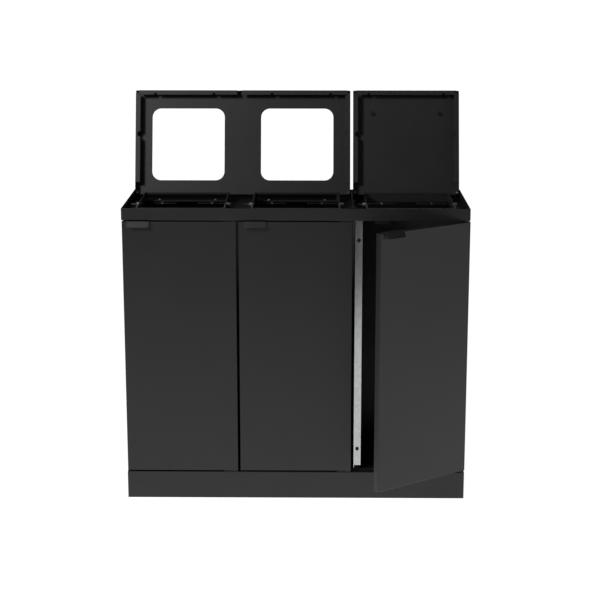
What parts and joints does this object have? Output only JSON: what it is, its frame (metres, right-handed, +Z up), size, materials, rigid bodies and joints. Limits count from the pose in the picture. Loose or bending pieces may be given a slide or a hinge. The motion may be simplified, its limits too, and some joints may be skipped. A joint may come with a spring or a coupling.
{
  "type": "recycling bin station",
  "caption": "Free-standing waste-sorting cabinet in black sheet steel with plain hinged doors, lifting top lids with feed openings, and bag collars with wire clamps.",
  "frame": {"origin": "on the floor, under the middle of the cabinet", "axes": "+X to the right seen from the front, +Y towards the back, +Z up"},
  "size_m": [1.0311, 0.6179, 1.2078],
  "materials": {
    "black_powder_coat": "fine-textured matte powder coat",
    "galvanised_sheet": "galvanised with a fine spangle",
    "zinc_plate": "bright zinc plate",
    "dark_steel": "dark oiled steel",
    "rubber": "matte",
    "catch_plastic": "matte",
    "nylon": "satin black"
  },
  "bodies": {
    "cabinet": {"plinth": "black_powder_coat", "levelling_feet": "rubber", "floor_panel": "black_powder_coat", "side_panel_left": "black_powder_coat", "side_panel_right": "black_powder_coat", "back_panel": "black_powder_coat", "back_panel_screws": "zinc_plate", "partition_left": "galvanised_sheet", "partition_right": "galvanised_sheet", "carcass_screws": "zinc_plate", "door_buffers": "rubber", "magnet_catches": "catch_plastic", "bottom_pivot_plates": "black_powder_coat", "top_pivot_plates": "black_powder_coat", "pivot_pins": "dark_steel", "pivot_plate_screws": "zinc_plate", "top_tray": "black_powder_coat", "tray_deck": "black_powder_coat", "lid_divider": "black_powder_coat", "divider_rivets": "zinc_plate", "collar_left": "black_powder_coat", "collar_middle": "black_powder_coat", "collar_right": "black_powder_coat", "collar_screws": "zinc_plate", "clamp_pivot_bolts": "dark_steel", "clamp_pivot_nuts": "zinc_plate", "bag_spring_clips": "dark_steel", "spring_clip_pins": "zinc_plate", "lid_hinge_studs": "zinc_plate", "lid_hinge_spacers": "nylon", "lid_hinge_nuts": "zinc_plate", "lid_rest_buffers": "rubber"},
    "door_left": {"door_left_panel": "black_powder_coat", "door_left_stiffener": "black_powder_coat", "door_left_pull": "black_powder_coat", "door_left_pull_rivets": "black_powder_coat", "door_left_bushes": "nylon"},
    "bag_clamp_left": {"bag_clamp_left": "zinc_plate"},
    "door_middle": {"door_middle_panel": "black_powder_coat", "door_middle_stiffener": "black_powder_coat", "door_middle_pull": "black_powder_coat", "door_middle_pull_rivets": "black_powder_coat", "door_middle_bushes": "nylon"},
    "bag_clamp_middle": {"bag_clamp_middle": "zinc_plate"},
    "door_right": {"door_right_panel": "black_powder_coat", "door_right_stiffener": "black_powder_coat", "door_right_pull": "black_powder_coat", "door_right_pull_rivets": "black_powder_coat", "door_right_bushes": "nylon"},
    "bag_clamp_right": {"bag_clamp_right": "zinc_plate"},
    "lid_double": {"lid_double_panel": "black_powder_coat"},
    "lid_single": {"lid_single_panel": "black_powder_coat", "lid_single_plugs": "catch_plastic"}
  },
  "joints": [
    {"name": "door_left_hinge", "type": "hinge", "parent": "cabinet", "child": "door_left", "pos_m": [-0.18583, -0.171, 0.474], "axis": [0, 0, 1], "range_deg": [0, 100]},
    {"name": "door_middle_hinge", "type": "hinge", "parent": "cabinet", "child": "door_middle", "pos_m": [0.15883, -0.171, 0.474], "axis": [0, 0, 1], "range_deg": [0, 100]},
    {"name": "door_right_hinge", "type": "hinge", "parent": "cabinet", "child": "door_right", "pos_m": [0.5035, -0.171, 0.474], "axis": [0, 0, 1], "range_deg": [-36, 64]},
    {"name": "lid_double_hinge", "type": "hinge", "parent": "cabinet", "child": "lid_double", "pos_m": [-0.17067, 0.15, 0.895], "axis": [-1, 0, 0], "range_deg": [-106, 0]},
    {"name": "lid_single_hinge", "type": "hinge", "parent": "cabinet", "child": "lid_single", "pos_m": [0.34233, 0.15, 0.895], "axis": [-1, 0, 0], "range_deg": [-106, 0]},
    {"name": "bag_clamp_left_hinge", "type": "hinge", "parent": "cabinet", "child": "bag_clamp_left", "pos_m": [-0.34333, -0.032, 0.887], "axis": [-1, 0, 0], "range_deg": [0, 95]},
    {"name": "bag_clamp_middle_hinge", "type": "hinge", "parent": "cabinet", "child": "bag_clamp_middle", "pos_m": [0, -0.032, 0.887], "axis": [-1, 0, 0], "range_deg": [0, 95]},
    {"name": "bag_clamp_right_hinge", "type": "hinge", "parent": "cabinet", "child": "bag_clamp_right", "pos_m": [0.34333, -0.032, 0.887], "axis": [-1, 0, 0], "range_deg": [0, 95]}
  ]
}
